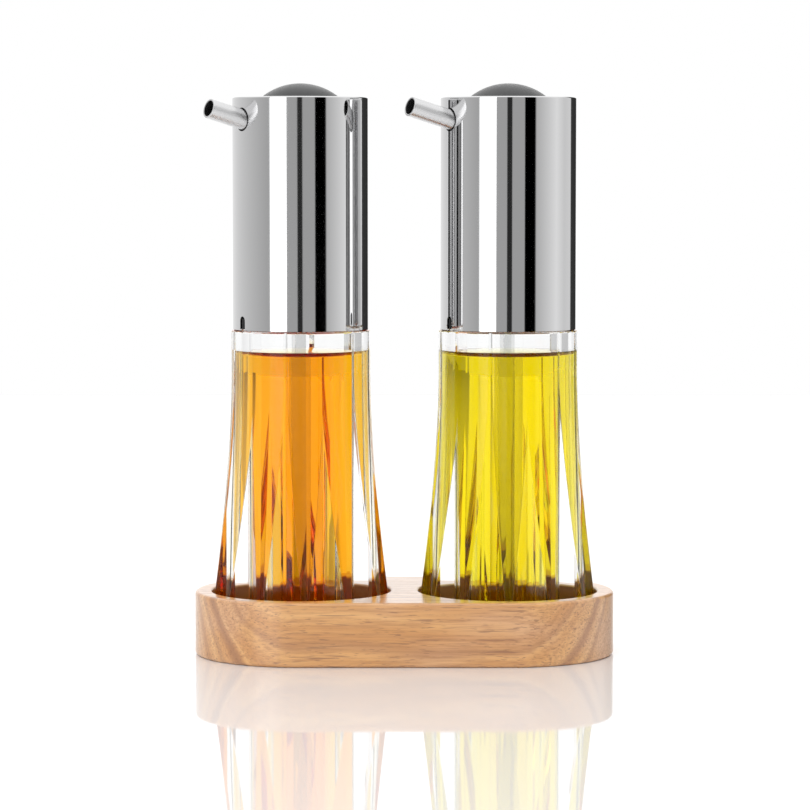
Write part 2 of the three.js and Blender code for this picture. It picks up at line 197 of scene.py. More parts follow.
def turned(name, outline, looped=True, segments=144, place=None):
    """Turns an outline of (radius, height) points round Z, then places it."""
    azimuths = [2 * math.pi * k / segments for k in range(segments)]
    points = list(outline)
    start = end = None
    if not looped:
        if points[0][0] == 0:
            start = (0, 0, points.pop(0)[1])
        if points[-1][0] == 0:
            end = (0, 0, points.pop()[1])
    rings = [ring_at(r, h, azimuths) for r, h in points]
    obj = skin(name, rings, start, end, looped)
    if place is not None:
        obj.data.transform(place)
    return obj


def at_axis(unit):
    x, y = AXIS[unit]
    return Matrix.Translation((x, y, 0))


def arc(radius_at, height_at, size, start, stop, steps):
    points = []
    for i in range(steps + 1):
        angle = math.radians(start + (stop - start) * i / steps)
        points.append((radius_at + size * math.cos(angle), height_at + size * math.sin(angle)))
    return points


def along_spout(unit):
    """Places a piece turned about Z on the spout's rising axis; its zero is on the bottle axis."""
    azimuth = math.radians(HEAD_AZIMUTH[unit])
    rise = math.radians(SPOUT_RISE)
    level = Vector((math.sin(azimuth), -math.cos(azimuth), 0)) * math.cos(rise)
    axis = level + Vector((0, 0, math.sin(rise)))
    turn = Vector((0, 0, 1)).rotation_difference(axis).to_matrix().to_4x4()
    start = Vector((0, 0, SPOUT_CROSSING - SLEEVE_OUTER * math.tan(rise))) * MM
    return at_axis(unit) @ Matrix.Translation(start) @ turn


def slant(level):
    return level / math.cos(math.radians(SPOUT_RISE))


def cut_away(obj, *cutters):
    """Subtracts closed meshes from a piece for good, and removes them."""
    for cutter in cutters:
        modifier = obj.modifiers.new("cut", "BOOLEAN")
        modifier.operation = "DIFFERENCE"
        modifier.solver = "EXACT"
        modifier.object = cutter
    bpy.context.view_layer.update()
    graph = bpy.context.evaluated_depsgraph_get()
    made = bpy.data.meshes.new_from_object(obj.evaluated_get(graph))
    obj.modifiers.clear()
    obj.data = made
    for cutter in cutters:
        bpy.data.objects.remove(cutter, do_unlink=True)
    return obj


def flat_normals(obj):
    """Large faces keep their own direction, and only the eased corners bend the light."""
    modifier = obj.modifiers.new("normals", "WEIGHTED_NORMAL")
    modifier.mode = "FACE_AREA"
    modifier.weight = 50
    modifier.keep_sharp = True


def settle(obj, material, body, *nodes, slot=None, normals=True):
    """Gives a piece its material, its CAD body and the nodes it stands for."""
    obj.data.materials.clear()
    obj.data.materials.append(material)
    if normals:
        flat_normals(obj)
    if body:
        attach(obj, body)
    if nodes:
        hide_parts(*nodes)
    return obj


# ---- node helpers ---------------------------------------------------------------------------
class Look:
    """A node material under construction."""

    def __init__(self, name):
        self.material = bpy.data.materials.new(name)
        self.material.use_nodes = True
        self.tree = self.material.node_tree
        self.tree.nodes.clear()
        self.output = self.tree.nodes.new("ShaderNodeOutputMaterial")
        self.surface = self.tree.nodes.new("ShaderNodeBsdfPrincipled")
        self.link(self.surface.outputs[0], self.output.inputs["Surface"])

    def link(self, source, target):
        self.tree.links.new(source, target)

    def set(self, **values):
        for key, value in values.items():
            self.put(self.surface.inputs[key.replace("_", " ")], value)
        return self

    def put(self, socket, value):
        if isinstance(value, bpy.types.NodeSocket):
            self.link(value, socket)
        elif isinstance(value, tuple) and socket.type == "RGBA" and len(value) == 3:
            socket.default_value = (*value, 1)
        else:
            socket.default_value = value

    def node(self, kind, inputs=(), **settings):
        made = self.tree.nodes.new("ShaderNode" + kind)
        for key, value in settings.items():
            setattr(made, key, value)
        for key, value in dict(inputs).items():
            self.put(made.inputs[key], value)
        return made

    def position(self):
        return self.node("TexCoord").outputs["Object"]

    def scaled(self, vector, scale):
        return self.node("VectorMath", {0: vector, 1: scale}, operation="MULTIPLY").outputs[0]

    def shifted(self, vector, offset):
        return self.node("VectorMath", {0: vector, 1: offset}, operation="ADD").outputs[0]

    def along(self, vector, direction):
        return self.node("VectorMath", {0: vector, 1: direction}, operation="DOT_PRODUCT").outputs[1]

    def noise(self, vector, scale=1.0, detail=3.0, roughness=0.5, distortion=0.0):
        made = self.node(
            "TexNoise",
            {
                "Vector": vector,
                "Scale": scale,
                "Detail": detail,
                "Roughness": roughness,
                "Distortion": distortion,
            },
        )
        return made.outputs["Fac"]

    def math(self, operation, a, b=0.0, c=0.0):
        return self.node("Math", {0: a, 1: b, 2: c}, operation=operation).outputs[0]

    def ranged(self, value, low, high, to_low=0.0, to_high=1.0, smooth=True):
        kind = "SMOOTHSTEP" if smooth else "LINEAR"
        made = self.node(
            "MapRange",
            {0: value, 1: low, 2: high, 3: to_low, 4: to_high},
            interpolation_type=kind,
        )
        return made.outputs[0]

    def mix(self, factor, a, b, blend="MIX"):
        made = self.node("Mix", data_type="RGBA", blend_type=blend)
        self.put(made.inputs[0], factor)
        self.put(made.inputs[6], a)
        self.put(made.inputs[7], b)
        return made.outputs[2]

    def ramp(self, factor, stops):
        made = self.node("ValToRGB", {0: factor})
        elements = made.color_ramp.elements
        while len(elements) < len(stops):
            elements.new(0.5)
        for element, (place, colour) in zip(elements, stops):
            element.position = place
            element.color = (*colour, 1)
        return made.outputs[0]

    def bump(self, height, strength, distance):
        made = self.node("Bump", {"Height": height, "Strength": strength, "Distance": distance})
        return made.outputs[0]

    def combined(self, x, y, z):
        return self.node("CombineXYZ", {0: x, 1: y, 2: z}).outputs[0]


# ---- materials ------------------------------------------------------------------------------
# painted shade: the inside of each recess is coloured a darker, more saturated brown, standing for shade
# and for light tinted orange by the liquids
RECESS_PAINTED_SHADE = (0.62, 0.21, 0.05)
# layer of the wood in metres, half width of the streak, how dark it is
WOOD_STREAKS = ((0.0268, 0.0011, 0.62), (0.0222, 0.0008, 0.4), (0.0335, 0.0007, 0.35))


def wood():
    """Oiled light hardwood: the grain runs along the tray, its layers lean back as they rise."""
    look = Look("wood_oiled")
    place = look.position()
    along = look.along(place, (1, 0, 0))
    sway = look.noise(look.scaled(place, (14, 30, 30)), detail=2.0)
    across = look.along(place, (0, -0.91, 0.414))
    layer = look.math("ADD", across, look.math("MULTIPLY", look.math("SUBTRACT", sway, 0.5), 0.006))

    stretched = look.math("MULTIPLY", along, 5.0)
    stacked = look.math("MULTIPLY", layer, 330.0)
    band = look.noise(look.combined(stretched, stacked, 0.0), detail=3.0)
    fine = look.noise(look.scaled(place, (70, 1500, 1500)), detail=3.0, roughness=0.6)
    wide = look.noise(look.scaled(place, (22, 60, 60)), detail=2.0)
    pores = look.noise(look.scaled(place, (210, 2300, 2300)), detail=2.0, roughness=0.55)
    elsewhere = look.shifted(look.scaled(place, (75, 1300, 1300)), (7.3, 1.1, 4.2))
    long_pores = look.noise(elsewhere, detail=2.0)

    base = look.ramp(
        band,
        [
            (0.28, (0.46, 0.205, 0.062)),
            (0.42, (0.625, 0.305, 0.107)),
            (0.58, (0.73, 0.395, 0.155)),
            (0.75, (0.84, 0.50, 0.22)),
        ],
    )
    base = look.mix(look.ranged(wide, 0.45, 0.72, 0.0, 0.5), base, (0.70, 0.43, 0.27))
    base = look.mix(look.ranged(fine, 0.38, 0.68, 0.0, 0.55), base, (0.44, 0.20, 0.08))
    for centre, width, depth in WOOD_STREAKS:
        off = look.math("ABSOLUTE", look.math("SUBTRACT", layer, centre))
        streak = look.ranged(off, width * 1.6, width * 0.2, 0.0, depth)
        base = look.mix(streak, base, (0.36, 0.165, 0.08))
    dark = look.math(
        "MAXIMUM",
        look.ranged(pores, 0.59, 0.70, 0.0, 0.62),
        look.ranged(long_pores, 0.61, 0.72, 0.0, 0.6),
    )
    base = look.mix(dark, base, (0.25, 0.115, 0.06))
    # painted light: a patchy amber glow (vinegar) and yellow glow (oil) on the wood just round each
    # recess rim, standing for light that has come through the liquids
    for unit, glow_colour in (("vinegar", (0.80, 0.36, 0.06)), ("oil", (0.80, 0.52, 0.05))):
        x, y = AXIS[unit]
        flat = look.node(
            "VectorMath",
            {0: look.scaled(look.shifted(place, (-x, -y, 0.0)), (1, 1, 0))},
            operation="LENGTH",
        ).outputs[1]
        # painted shade: inside each recess, below the tray's top, the wood takes the darker recess
        # colour
        inside = look.ranged(flat, 0.0291, 0.0288)
        below = look.ranged(look.along(place, (0, 0, 1)), 0.0204, 0.0200)
        base = look.mix(look.math("MULTIPLY", inside, below), base, RECESS_PAINTED_SHADE)
        # painted light: the glow fades out over about 1.6 mm from the recess edge and is patchy
        patchy = look.ranged(wide, 0.3, 0.6, 0.3, 0.75)
        painted_glow = look.math("MULTIPLY", look.ranged(flat, 0.0305, 0.0289), patchy)
        rim = look.math("MULTIPLY", painted_glow, look.math("SUBTRACT", 1.0, inside))
        base = look.mix(rim, base, glow_colour)
    height = look.math("SUBTRACT", look.math("MULTIPLY", fine, 0.3), dark)
    look.set(
        Base_Color=base,
        Roughness=look.ranged(look.math("ADD", fine, dark), 0.2, 1.2, 0.3, 0.52),
        Normal=look.bump(height, 0.35, 0.00012),
    )
    look.surface.inputs["Coat Weight"].default_value = 0.8
    look.surface.inputs["Coat Roughness"].default_value = 0.2
    look.surface.inputs["Coat IOR"].default_value = 1.55
    return look.material


def acrylic():
    """Clear cast plastic with the slightest waviness of a polished moulding."""
    look = Look("acrylic_clear")
    place = look.position()
    wave = look.noise(look.scaled(place, (90, 90, 26)), detail=1.0)
    haze = look.noise(place, scale=160.0, detail=3.0)
    look.set(
        Base_Color=look.mix(look.ranged(haze, 0.3, 0.7), (0.985, 0.99, 0.992), (0.996, 0.998, 1.0)),
        Roughness=look.ranged(haze, 0.35, 0.75, 0.0, 0.012),
        Normal=look.bump(wave, 0.02, 0.0002),
    )
    look.surface.inputs["IOR"].default_value = 1.49
    look.surface.inputs["Specular Tint"].default_value = (0.35, 0.35, 0.35, 1)
    look.surface.inputs["Transmission Weight"].default_value = 1.0
    return look.material


def liquid(name, tint, density, ior, clear):
    """A clear coloured liquid: its depth makes the colour."""
    look = Look(name)
    place = look.position()
    haze = look.noise(place, scale=60.0, detail=2.0)
    look.set(
        Base_Color=look.mix(haze, clear, (1.0, 1.0, 1.0)),
        Roughness=look.ranged(haze, 0.3, 0.8, 0.0, 0.006),
    )
    look.surface.inputs["IOR"].default_value = ior
    look.surface.inputs["Transmission Weight"].default_value = 1.0
    look.surface.inputs["Specular Tint"].default_value = (0.05, 0.05, 0.05, 1)
    depth = look.node("VolumeAbsorption")
    depth.inputs["Color"].default_value = (*tint, 1)
    depth.inputs["Density"].default_value = density
    look.link(depth.outputs[0], look.output.inputs["Volume"])
    return look.material


def steel(name, low, high, colour, lines):
    """Polished stainless steel with faint polishing lines and hand marks."""
    look = Look(name)
    place = look.position()
    smear = look.noise(look.scaled(place, (40, 40, 22)), detail=4.0)
    line = look.noise(look.scaled(place, (900, 900, 14)), detail=2.0)
    look.set(
        Base_Color=look.mix(smear, colour, tuple(c * 0.97 for c in colour)),
        Metallic=1.0,
        Roughness=look.ranged(smear, 0.3, 0.75, low, high),
        Normal=look.bump(line, lines, 0.00002),
    )
    return look.material


def silicone():
    look = Look("silicone_grey")
    place = look.position()
    grain = look.noise(place, scale=2600.0, detail=2.0)
    cloud = look.noise(place, scale=110.0, detail=3.0)
    look.set(
        Base_Color=look.mix(cloud, (0.025, 0.026, 0.027), (0.034, 0.035, 0.036)),
        Roughness=look.ranged(cloud, 0.3, 0.7, 0.5, 0.62),
        Normal=look.bump(grain, 0.12, 0.00004),
    )
    look.surface.inputs["Sheen Weight"].default_value = 0.6
    look.surface.inputs["Sheen Roughness"].default_value = 0.35
    return look.material


def moulded_black():
    look = Look("plastic_black")
    place = look.position()
    grain = look.noise(place, scale=1900.0, detail=3.0)
    scuff = look.noise(look.scaled(place, (60, 60, 200)), detail=4.0)
    look.set(
        Base_Color=look.mix(look.ranged(scuff, 0.5, 0.8), (0.014, 0.014, 0.015), (0.026, 0.026, 0.027)),
        Roughness=look.ranged(scuff, 0.3, 0.75, 0.45, 0.62),
        Normal=look.bump(grain, 0.15, 0.00004),
    )
    look.surface.inputs["Specular IOR Level"].default_value = 0.25
    return look.material


def milky(name, colour, through, low, high, ior):
    look = Look(name)
    place = look.position()
    cloud = look.noise(place, scale=300.0, detail=3.0)
    look.set(
        Base_Color=look.mix(cloud, colour, tuple(min(1.0, c * 1.08) for c in colour)),
        Roughness=look.ranged(cloud, 0.3, 0.7, low, high),
        Normal=look.bump(cloud, 0.05, 0.00005),
    )
    look.surface.inputs["Transmission Weight"].default_value = through
    look.surface.inputs["IOR"].default_value = ior
    return look.material


WOOD = wood()
ACRYLIC = acrylic()
SLEEVE_STEEL = steel("steel_polished", 0.035, 0.075, (0.69, 0.69, 0.695), 0.04)
SPOUT_STEEL = steel("steel_tube", 0.24, 0.34, (0.66, 0.66, 0.665), 0.15)
# painted shade: the spout's bore is the same steel as the outside, made far darker to stand for the
# shade inside the tube
BORE_STEEL_PAINTED_SHADE = steel("steel_tube_bore", 0.4, 0.55, (0.13, 0.13, 0.132), 0.15)
SILICONE = silicone()
BLACK = moulded_black()
SEAL_RUBBER = milky("silicone_clear", (0.82, 0.83, 0.84), 0.35, 0.35, 0.5, 1.41)
TUBE_PLASTIC = milky("plastic_clear_tube", (0.90, 0.905, 0.91), 0.88, 0.02, 0.06, 1.04)
LIQUIDS = {
    "vinegar": liquid("liquid_vinegar", (0.993, 0.83, 0.0), 200.0, 1.345, (1.0, 0.985, 0.955)),
    "oil": liquid("liquid_oil", (0.979, 0.938, 0.0), 200.0, 1.47, (1.0, 0.995, 0.94)),
}


# ---- tray -----------------------------------------------------------------------------------
def tray():
    low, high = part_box("tray")
    height = (high[2] - low[2]) / MM
    half = (high[0] - low[0]) / 2 / MM - TRAY_RADIUS
    per_end = 60

    def outline(inset, level):
        radius = TRAY_RADIUS - inset
        ring = []
        for k in range(per_end + 1):
            angle = -math.pi / 2 + math.pi * k / per_end
            ring.append((half + radius * math.cos(angle), radius * math.sin(angle), level))
        for k in range(1, 16):
            ring.append((half - 2 * half * k / 16, radius, level))
        for k in range(per_end + 1):
            angle = math.pi / 2 + math.pi * k / per_end
            ring.append((-half + radius * math.cos(angle), radius * math.sin(angle), level))
        for k in range(1, 16):
            ring.append((-half + 2 * half * k / 16, -radius, level))
        return ring

    edge = TRAY_EDGE
    rings = []
    for k in range(6):
        angle = math.pi / 2 * k / 5
        rings.append(outline(edge * (1 - math.sin(angle)), edge * (1 - math.cos(angle))))
    for share in (0.25, 0.5, 0.75):
        rings.append(outline(0, edge + (height - 2 * edge) * share))
    for k in range(6):
        angle = math.pi / 2 * k / 5
        rings.append(outline(edge * (1 - math.cos(angle)), height - edge * (1 - math.sin(angle))))
    board = skin("tray_board", rings, (0, 0, 0), (0, 0, height))
    cutters = []
    for unit in UNITS:
        bore = eased(
            [
                (0, RECESS_FLOOR, 0),
                (RECESS_RADIUS, RECESS_FLOOR, 0.5),
                (RECESS_RADIUS, height, 0),
                (RECESS_RADIUS, height + 2, 0),
                (0, height + 2, 0),
            ],
            looped=False,
        )
        lip = arc(RECESS_RADIUS + 0.8, height - 0.8, 0.8, 180, 90, 6)
        bore = [p for p in bore if p[1] < height - 1] + lip
        bore += [(RECESS_RADIUS + 0.8, height + 2), (0, height + 2)]
        cutters.append(turned(f"cut_{unit}", bore, looped=False, segments=160, place=at_axis(unit)))
    cut_away(board, *cutters)
    board.data.shade_smooth()
    mark_sharp(board, 24)
    return settle(board, WOOD, "tray", "tray", slot="tray_wood")


def mark_sharp(obj, angle):
    bm = bmesh.new()
    bm.from_mesh(obj.data)
    limit = math.radians(angle)
    for edge in bm.edges:
        edge.smooth = edge.calc_face_angle(0.0) < limit
    bm.to_mesh(obj.data)
    bm.free()


# ---- bottles --------------------------------------------------------------------------------
def flare_radius(height):
    down = max(FLARE_TOP - height, 0) / FLARE_SPAN
    return COLLAR_RADIUS + FLARE_GROWTH * down**FLARE_POWER


def eased_corner(before, corner, after, reach, steps=4):
    """Points of a short curve that rounds one corner of a level section."""
    a = corner + (before - corner).normalized() * min(reach, (before - corner).length * 0.45)
    b = corner + (after - corner).normalized() * min(reach, (after - corner).length * 0.45)
    points = []
    for k in range(steps + 1):
        t = k / steps
        points.append(a * (1 - t) ** 2 + corner * 2 * t * (1 - t) + b * t**2)
    return points


def cut_section(radius, height, turn, land_steps=8):
    """A level section of the bottle's side: a circle with twelve V cuts."""

    def polar(azimuth, size):
        return Vector((size * math.sin(azimuth), -size * math.cos(azimuth)))

    cuts = []
    for k in range(CUTS):
        valley, slope = DEEP_CUT if k % 2 == 0 else SHALLOW_CUT
        centre = math.radians(turn + 360 / CUTS * k)
        lean = math.atan(1 / slope)
        half = 0.0
        if radius > valley:
            reach = min(1.0, valley * slope / (radius * math.hypot(1, slope)))
            half = max(0.0, math.acos(reach) - lean)
        cuts.append((centre, half, min(valley, radius)))
    ring = []
    for k, (centre, half, valley) in enumerate(cuts):
        left = polar(centre - half, radius)
        low = polar(centre, valley)
        right = polar(centre + half, radius)
        flank = (left - low).length
        ease = min(CUT_EASE, flank * 0.4)
        step = ease / radius
        ring += eased_corner(polar(centre - half - step, radius), left, low, ease)
        ring += eased_corner(left, low, right, min(VALLEY_EASE, flank * 0.3))
        ring += eased_corner(low, right, polar(centre + half + step, radius), ease)
        following, next_half, next_valley = cuts[(k + 1) % CUTS]
        if k == CUTS - 1:
            following += 2 * math.pi
        next_flank = (polar(next_half, radius) - polar(0, next_valley)).length
        next_step = min(CUT_EASE, next_flank * 0.4) / radius
        start = centre + half + step
        stop = following - next_half - next_step
        for j in range(1, land_steps):
            ring.append(polar(start + (stop - start) * j / land_steps, radius))
    return [(p.x, p.y, height) for p in ring]


def bottle(unit):
    turn = CUT_TURN[unit]
    bottom = (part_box(f"{unit}_bottle")[0][2]) / MM
    azimuths = [math.atan2(x, -y) for x, y, _ in cut_section(FOOT_RADIUS, 0, turn)]

    side = arc(FOOT_RADIUS - FOOT_EDGE, bottom + FOOT_EDGE, FOOT_EDGE, -90, 0, 5)
    foot_top = bottom + FOOT_EDGE
    narrowing = FOOT_RADIUS - flare_radius(FLARE_FOOT)
    for k in range(1, 4):
        side.append((FOOT_RADIUS - narrowing * k / 4, foot_top + (FLARE_FOOT - foot_top) * k / 4))
    rows = 56
    for k in range(rows + 1):
        height = FLARE_FOOT + (FLARE_TOP - FLARE_FOOT) * k / rows
        side.append((flare_radius(height), height))
    side += [(COLLAR_RADIUS, FLARE_TOP + (SHOULDER - 0.6 - FLARE_TOP) * k / 3) for k in range(1, 3)]
    side += arc(COLLAR_RADIUS - 0.6, SHOULDER - 0.6, 0.6, 0, 90, 5)

    inner = eased(
        [
            (NECK_RADIUS + 1.5, SHOULDER, 0),
            (NECK_RADIUS, SHOULDER, 0.4),
            (NECK_RADIUS, NECK_TOP, 0.4),
            (BORE_RADIUS, NECK_TOP, 0.4),
            (BORE_RADIUS, BORE_FLOOR, BORE_CORNER),
            (6.0, BORE_FLOOR, 0),
        ],
        looped=False,
        steps=6,
    )
    rings = [ring_at(r, bottom, azimuths) for r in (8.0, 20.0)]
    rings += [cut_section(r, h, turn) for r, h in side]
    rings += [ring_at(r, h, azimuths) for r, h in inner]
    body = skin(f"{unit}_bottle_cut", rings, (0, 0, bottom), (0, 0, BORE_FLOOR))
    body.data.transform(at_axis(unit))
    return settle(body, ACRYLIC, f"{unit}_bottle", f"{unit}_bottle", slot="clear_acrylic")


def filling(unit):
    """The liquid, a hair larger than the bore so that it wets the wall all over."""
    wet = 0.04
    radius = BORE_RADIUS + wet
    floor = BORE_FLOOR - wet
    outline = [(0, floor), (6.0, floor)]
    outline += arc(radius - BORE_CORNER, floor + BORE_CORNER, BORE_CORNER, -90, 0, 10)
    wall = LIQUID_TOP + MENISCUS - floor - BORE_CORNER
    outline += [(radius, floor + BORE_CORNER + wall * k / 20) for k in range(1, 21)]
    for k in range(11):
        t = k / 10
        climb = (MENISCUS - 0.03) * (1 - t) ** 2
        outline.append((BORE_RADIUS - 0.03 - 3.0 * t, LIQUID_TOP + climb))
    outline.append((6.0, LIQUID_TOP))
    outline.append((0, LIQUID_TOP))
    body = turned(f"{unit}_liquid", outline, looped=False, segments=144, place=at_axis(unit))
    mark_sharp(body, 50)
    return settle(body, LIQUIDS[unit], f"{unit}_bottle")


# ---- pump heads -----------------------------------------------------------------------------
def true_cylinder_normals(obj, unit, radii, low, high):
    """Gives the drawn tube its exact round shading round the holes that were cut in it."""
    x, y = AXIS[unit]
    mesh = obj.data
    corner_normals = [c.vector.copy() for c in mesh.corner_normals]
    for face in mesh.polygons:
        centre = face.center
        out = Vector((centre.x - x, centre.y - y, 0))
        near = any(abs(out.length / MM - r) < 0.05 for r in radii)
        facing = abs(out.normalized().dot(face.normal)) > 0.97
        if not (near and facing and low * MM < centre.z < high * MM):
            continue
        sign = 1 if out.dot(face.normal) > 0 else -1
        for corner in face.loop_indices:
            point = mesh.vertices[mesh.loops[corner].vertex_index].co
            corner_normals[corner] = Vector((point.x - x, point.y - y, 0)).normalized() * sign
    mesh.normals_split_custom_set(corner_normals)


def sleeve(unit):
    low, high = (c[2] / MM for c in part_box(f"{unit}_sleeve"))
    low -= 0.1
    core = (SLEEVE_OUTER - SLEEVE_EDGE, high - SLEEVE_EDGE)
    outline = [(SLEEVE_INNER + 0.15, low), (SLEEVE_OUTER - 0.15, low), (SLEEVE_OUTER, low + 0.15)]
    outline += [(SLEEVE_OUTER, low + (core[1] - low) * k / 6) for k in range(1, 6)]
    outline += arc(*core, SLEEVE_EDGE, 0, 90, 8)
    outline += [(SLEEVE_LIP + 0.15, high), (SLEEVE_LIP, high - 0.15), (SLEEVE_LIP, high - SHEET)]
    outline += [(SLEEVE_INNER - 0.2, high - SHEET), (SLEEVE_INNER, high - SHEET - 0.2)]
    outline += [(SLEEVE_INNER, low + (core[1] - low) * k / 6) for k in range(5, 0, -1)]
    outline += [(SLEEVE_INNER, low + 0.15)]
    tube = turned(f"{unit}_sleeve_steel", outline, segments=192, place=at_axis(unit))
    hole = turned(
        "hole",
        [(0, slant(10)), (SPOUT_HOLE, slant(10)), (SPOUT_HOLE, slant(34)), (0, slant(34))],
        looped=False,
        segments=96,
        place=along_spout(unit),
    )
    half = NOTCH_WIDTH / 2
    arch = [(-half, -1), (half, -1)]
    arch += arc(0, NOTCH_HEIGHT - half, half, 0, 180, 16)
    rings = [[(x, -depth, low + z) for x, z in arch] for depth in (18, 26)]
    middles = [(0, -depth, low + 1) for depth in (18, 26)]
    notch = skin("notch", rings, *middles)
    notch.data.transform(at_axis(unit) @ Matrix.Rotation(math.radians(HEAD_AZIMUTH[unit]), 4, "Z"))
    cut_away(tube, hole, notch)
    tube.data.shade_smooth()
    mark_sharp(tube, 40)
    true_cylinder_normals(tube, unit, (SLEEVE_OUTER, SLEEVE_INNER), low + 0.1, core[1])
    head = f"{unit}_head"
    return settle(tube, SLEEVE_STEEL, head, f"{unit}_sleeve", slot="polished_steel", normals=False)


def spout(unit):
    start = slant(SPOUT_INNER[unit])
    end = start + SPOUT_LENGTH
    outline = eased(
        [
            (SPOUT_BORE, start, 0.1),
            (SPOUT_OUTER, start, 0.1),
            (SPOUT_OUTER, end, 0.32),
            (SPOUT_BORE, end, 0.28),
        ],
        steps=5,
    )
    tube = turned(f"{unit}_spout_tube", outline, segments=96)
    settle(tube, SPOUT_STEEL, f"{unit}_head", f"{unit}_spout", slot="polished_steel")
    # the bore's faces take the darkened steel with its painted shade
    tube.data.materials.append(BORE_STEEL_PAINTED_SHADE)
    for face in tube.data.polygons:
        level = Vector((face.center.x, face.center.y)).length / MM
        face.material_index = 1 if level < SPOUT_BORE + 0.08 else 0
    tube.data.transform(along_spout(unit))
    return tube


def dome(unit):
    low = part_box(f"{unit}_dome")[0][2] / MM
    flange_top = low + 1.0

    def rim_angle(size):
        return math.degrees(math.asin((flange_top + 0.35 - DOME_CENTRE) / size))

    inside = DOME_SPHERE - DOME_WALL
    outer = arc(0, DOME_CENTRE, DOME_SPHERE, 90, rim_angle(DOME_SPHERE), 36)
    outer[0] = (0, outer[0][1])
    hollow = arc(0, DOME_CENTRE, inside, rim_angle(inside), 90, 30)
    hollow[-1] = (0, hollow[-1][1])
    foot = outer[-1][0]
    mouth = hollow[0][0]
    flange = [
        (foot + 0.35, flange_top, 0.3),
        (DOME_FLANGE, flange_top, 0.25),
        (DOME_FLANGE, low, 0.2),
        (mouth, low, 0.2),
    ]
    rim = eased([(*outer[-1], 0), *flange, (*hollow[0], 0)], looped=False, steps=4)
    outline = outer[:-1] + rim + hollow[1:]
    bulb = turned(f"{unit}_dome_silicone", outline, looped=False, segments=144, place=at_axis(unit))
    bulb.data.materials.clear()
    bulb.data.materials.append(SILICONE)
    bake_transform(bulb)
    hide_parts(f"{unit}_dome")
    return bulb


def dome_ring(unit):
    (_, _, low), (_, _, high) = ([c / MM for c in corner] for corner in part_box(f"{unit}_dome_ring"))
    outer = SLEEVE_INNER - 0.3
    outline = eased(
        [
            (16.2, low, 0.2),
            (outer, low, 0.2),
            (outer, high, 0.3),
            (16.9, high, 0.5),
            (16.2, high - 0.7, 0.4),
        ],
        steps=4,
    )
    ring = turned(f"{unit}_ring_black", outline, segments=144, place=at_axis(unit))
    return settle(ring, BLACK, f"{unit}_head", f"{unit}_dome_ring", slot="black_plastic")


def dip_tube(unit):
    (_, _, low), (_, _, high) = ([c / MM for c in corner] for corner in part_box(f"{unit}_dip_tube"))
    segments = 64
    rings = []
    bore, outer, support = 1.8, 2.5, low + 30
    outline = ((bore, high), (outer, high), (outer, support), (outer, low), (bore, low), (bore, support))
    for radius, level in outline:
        ring = []
        for k in range(segments):
            angle = 2 * math.pi * k / segments
            x = radius * math.cos(angle)
            askew = (x + outer) * math.tan(math.radians(30)) if level == low else 0
            ring.append((x, radius * math.sin(angle), level + askew))
        rings.append(ring)
    tube = skin(f"{unit}_dip_tube_clear", rings, looped=True)
    mark_sharp(tube, 40)
    tube.data.transform(at_axis(unit))
    return settle(tube, TUBE_PLASTIC, f"{unit}_head", f"{unit}_dip_tube", slot="clear_plastic")


def neck_seal(unit):
    (_, _, low), (_, _, high) = ([c / MM for c in corner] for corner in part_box(f"{unit}_neck_seal"))
    outline = eased(
        [
            (15.15, low, 0.15),
            (15.75, low, 0.3),
            (16.15, low + 0.5, 0.4),
            (16.25, (low + high) / 2, 0.4),
            (16.15, high - 0.5, 0.4),
            (15.75, high, 0.3),
            (15.15, high, 0.15),
        ],
        steps=4,
    )
    ring = turned(f"{unit}_seal_ring", outline, segments=144, place=at_axis(unit))
    return settle(ring, SEAL_RUBBER, f"{unit}_seal", f"{unit}_neck_seal", slot="clear_silicone")


def carried_over(node, material, width):
    """A CAD node keeps its shape; its edges are eased and it gets a worked material."""
    obj = frame["nodes"][node]
    obj.data.materials.clear()
    obj.data.materials.append(material)
    ease = obj.modifiers.new("ease", "BEVEL")
    ease.width = width * MM
    ease.segments = 2
    ease.limit_method = "ANGLE"
    ease.angle_limit = math.radians(35)
    ease.harden_normals = False


tray()
for unit in UNITS:
    bottle(unit)
    filling(unit)
    sleeve(unit)
    spout(unit)
    dome(unit)
    dome_ring(unit)
    dip_tube(unit)
    neck_seal(unit)
    for node, material, width in (
        ("pump_chassis", BLACK, 0.15),
        ("pump_chamber", BLACK, 0.15),
        ("valve_cage", BLACK, 0.08),
        ("press_disc", BLACK, 0.12),
        ("vent_flap", SEAL_RUBBER, 0.06),
        ("outlet_valve", SEAL_RUBBER, 0.06),
        ("inlet_ball", SPOUT_STEEL, 0.05),
    ):
        carried_over(f"{unit}_{node}", material, width)


# ---- floor, light and camera ----------------------------------------------------------------
FLOOR_HALF = 1.2
PANEL_TOP = 2.5  # the brightest a panel may be, as a ramp holds no more than 1
LIGHT_BOUNCES = 32  # fewer leave black shards in the liquids


def floor():
    mesh = bpy.data.meshes.new("floor")
    corners = [(x * FLOOR_HALF, y * FLOOR_HALF, 0) for x, y in ((-1, -1), (1, -1), (1, 1), (-1, 1))]
    mesh.from_pydata(corners, [], [(0, 1, 2, 3)])
    obj = bpy.data.objects.new("floor", mesh)
    bpy.context.scene.collection.objects.link(obj)
    look = Look("floor_white")
    cloud = look.noise(look.position(), scale=3.0, detail=2.0)
    look.set(
        Base_Color=look.mix(cloud, (0.84, 0.84, 0.845), (0.86, 0.86, 0.86)),
        Roughness=look.ranged(cloud, 0.3, 0.7, 0.025, 0.035),
    )
    look.surface.inputs["IOR"].default_value = 1.75
    mesh.materials.append(look.material)


